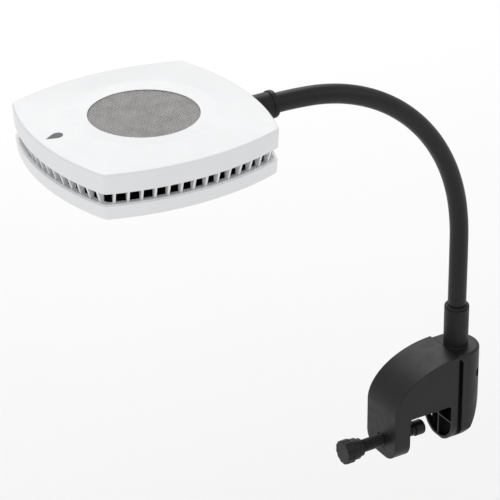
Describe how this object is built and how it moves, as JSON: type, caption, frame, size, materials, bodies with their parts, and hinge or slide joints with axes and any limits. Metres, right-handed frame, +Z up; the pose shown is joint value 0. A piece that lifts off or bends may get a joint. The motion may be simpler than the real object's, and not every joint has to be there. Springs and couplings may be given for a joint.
{
  "type": "gooseneck aquarium light",
  "caption": "Clamp-on aquarium light: a bowed square fan-cooled LED head on a flexible gooseneck, which swivels in a screw clamp for a tank's rim.",
  "frame": {"origin": "middle of the clamp's downward-facing seat, which rests on the tank's rim", "axes": "+Z up; the head hangs at -X; the clamp screw lies along X, its knob at -X; Y runs along the tank's panel"},
  "size_m": [0.2845, 0.124, 0.2684],
  "materials": {
    "white_shell": "satin moulded, off-white",
    "intake_steel": "woven wire",
    "black_plastic": "moulded, satin",
    "clamp_plastic": "moulded, fine texture",
    "neck_rubber": "smooth sleeve, soft sheen",
    "neck_steel": "wound wire",
    "black_aluminium": "black anodised",
    "screw_steel": "plated",
    "black_steel": "blackened",
    "bearing_brass": "turned",
    "white_board": "solder mask",
    "green_board": "solder mask",
    "led_yellow": "phosphor",
    "clear_window": "clear acrylic",
    "seal_rubber": "matt",
    "nylon": "smooth"
  },
  "bodies": {
    "clamp": {"clamp_frame": "clamp_plastic", "arm_barrel": "clamp_plastic", "lock_screw": "screw_steel", "joining_pins": "screw_steel", "thread_insert": "bearing_brass"},
    "tip": {"pressure_tip": "black_plastic"},
    "screw": {"clamp_screw": "black_steel", "screw_knob": "black_plastic"},
    "post": {"arm_post": "black_plastic", "swivel_washer": "nylon", "retaining_ring": "screw_steel", "neck_core_post": "neck_steel", "neck_sleeve_post": "neck_rubber"},
    "neck_01": {"neck_core_01": "neck_steel", "neck_sleeve_01": "neck_rubber"},
    "neck_02": {"neck_core_02": "neck_steel", "neck_sleeve_02": "neck_rubber"},
    "neck_03": {"neck_core_03": "neck_steel", "neck_sleeve_03": "neck_rubber"},
    "neck_04": {"neck_core_04": "neck_steel", "neck_sleeve_04": "neck_rubber"},
    "neck_05": {"neck_core_05": "neck_steel", "neck_sleeve_05": "neck_rubber"},
    "neck_06": {"neck_core_06": "neck_steel", "neck_sleeve_06": "neck_rubber"},
    "neck_07": {"neck_core_07": "neck_steel", "neck_sleeve_07": "neck_rubber"},
    "neck_08": {"neck_core_08": "neck_steel", "neck_sleeve_08": "neck_rubber"},
    "neck_09": {"neck_core_09": "neck_steel", "neck_sleeve_09": "neck_rubber"},
    "neck_10": {"neck_core_10": "neck_steel", "neck_sleeve_10": "neck_rubber"},
    "head": {"top_cover": "white_shell", "vent_ring": "white_shell", "lower_cover": "white_shell", "intake_mesh": "intake_steel", "mesh_retainer": "black_plastic", "air_guide": "black_plastic", "fan_frame": "black_plastic", "fan_bearing": "bearing_brass", "fan_motor": "screw_steel", "fan_screws": "screw_steel", "heat_sink": "black_aluminium", "led_board": "white_board", "led_emitters": "led_yellow", "lens_window": "clear_window", "window_seal": "seal_rubber", "driver_board": "green_board", "power_inlet": "black_plastic", "arm_socket": "black_aluminium", "head_collar": "black_plastic", "case_screws": "screw_steel", "neck_core_head": "neck_steel", "neck_sleeve_head": "neck_rubber"},
    "rotor": {"fan_rotor": "black_plastic", "fan_axle": "screw_steel"}
  },
  "joints": [
    {"name": "arm_swivel", "type": "hinge", "parent": "clamp", "child": "post", "pos_m": [0.027, 0, 0.0328], "axis": [0, 0, 1], "continuous": true},
    {"name": "neck_bend_01", "type": "hinge", "parent": "post", "child": "neck_01", "pos_m": [0.027, 0, 0.0725], "axis": [0, -1, 0], "range_deg": [-18, 18]},
    {"name": "neck_bend_02", "type": "hinge", "parent": "neck_01", "child": "neck_02", "pos_m": [0.027, 0, 0.09431], "axis": [0, -1, 0], "range_deg": [-18.6, 17.4]},
    {"name": "neck_side_03", "type": "hinge", "parent": "neck_02", "child": "neck_03", "pos_m": [0.02678, 0, 0.11612], "axis": [0.9981, 0, 0.0619], "range_deg": [-20, 20]},
    {"name": "neck_bend_04", "type": "hinge", "parent": "neck_03", "child": "neck_04", "pos_m": [0.02338, 0, 0.13764], "axis": [0, -1, 0], "range_deg": [-28.9, 7.1]},
    {"name": "neck_bend_05", "type": "hinge", "parent": "neck_04", "child": "neck_05", "pos_m": [0.01598, 0, 0.15812], "axis": [0, -1, 0], "range_deg": [-28.9, 7.1]},
    {"name": "neck_side_06", "type": "hinge", "parent": "neck_05", "child": "neck_06", "pos_m": [0.00485, 0, 0.17685], "axis": [0.8074, 0, 0.59], "range_deg": [-20, 20]},
    {"name": "neck_bend_07", "type": "hinge", "parent": "neck_06", "child": "neck_07", "pos_m": [-0.00961, 0, 0.19314], "axis": [0, -1, 0], "range_deg": [-28.9, 7.1]},
    {"name": "neck_bend_08", "type": "hinge", "parent": "neck_07", "child": "neck_08", "pos_m": [-0.02688, 0, 0.20641], "axis": [0, -1, 0], "range_deg": [-28.9, 7.1]},
    {"name": "neck_side_09", "type": "hinge", "parent": "neck_08", "child": "neck_09", "pos_m": [-0.04634, 0, 0.21619], "axis": [0.3622, 0, 0.9321], "range_deg": [-20, 20]},
    {"name": "neck_bend_10", "type": "hinge", "parent": "neck_09", "child": "neck_10", "pos_m": [-0.0673, 0, 0.22212], "axis": [0, -1, 0], "range_deg": [-28.9, 7.1]},
    {"name": "neck_bend_11", "type": "hinge", "parent": "neck_10", "child": "head", "pos_m": [-0.089, 0, 0.224], "axis": [0, -1, 0], "range_deg": [-22.9, 13.1]},
    {"name": "fan_spin", "type": "hinge", "parent": "head", "child": "rotor", "pos_m": [-0.181, 0, 0.23], "axis": [0, 0, 1], "continuous": true},
    {"name": "screw_travel", "type": "slide", "parent": "clamp", "child": "tip", "axis": [1, 0, 0], "range_m": [-0.0124, 0.0111]},
    {"name": "screw_turn", "type": "hinge", "parent": "tip", "child": "screw", "pos_m": [0, 0, -0.0185], "axis": [1, 0, 0], "range_deg": [-3575, 3200]}
  ],
  "couplings": [
    {"joint": "screw_turn", "follows": "screw_travel", "rad_per_m": 5026.5}
  ]
}
